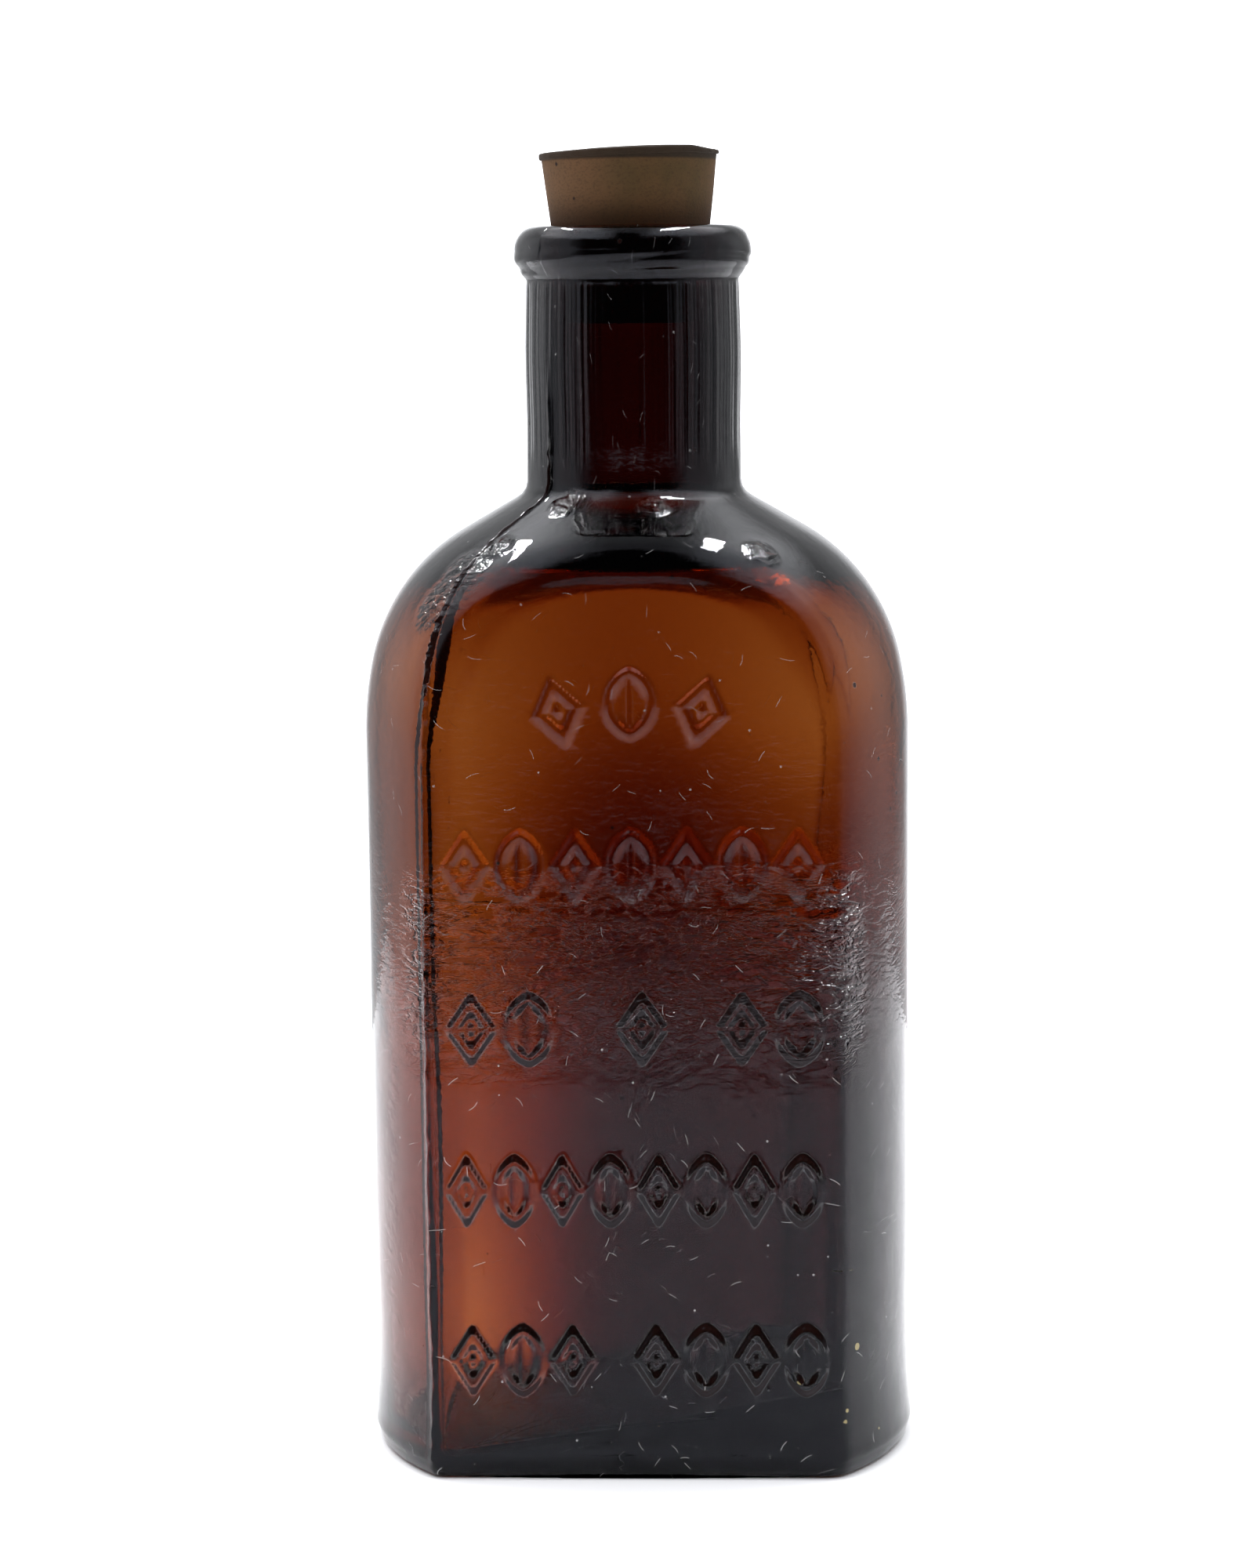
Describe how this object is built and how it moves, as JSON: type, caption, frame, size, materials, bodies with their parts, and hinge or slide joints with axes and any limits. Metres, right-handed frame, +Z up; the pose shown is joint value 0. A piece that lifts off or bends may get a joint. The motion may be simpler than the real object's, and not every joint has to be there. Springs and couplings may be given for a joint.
{
  "type": "medicine bottle",
  "caption": "Flat-panelled amber glass medicine bottle with rounded shoulders, a tall neck, a rolled lip ring and a tapered push-in stopper; rows of raised ornament on the front panel.",
  "frame": {"origin": "centre of the base, on the surface the bottle stands on", "axes": "+Z up along the bottle's axis; the embossed front panel faces -Y; X runs across the panel"},
  "size_m": [0.0724, 0.0493, 0.172],
  "materials": {
    "amber_glass": "glossy moulded glass, dark amber",
    "lip_glass": "fire-polished thick glass, almost black amber",
    "stopper_rubber": "matt, aged tan-brown"
  },
  "bodies": {
    "bottle": {"bottle_glass": "amber_glass", "lip_ring": "lip_glass"},
    "stopper": {"stopper": "stopper_rubber"}
  },
  "joints": [
    {"name": "stopper_lift", "type": "slide", "parent": "bottle", "child": "stopper", "axis": [0, 0, 1], "range_m": [0, 0.04]}
  ]
}
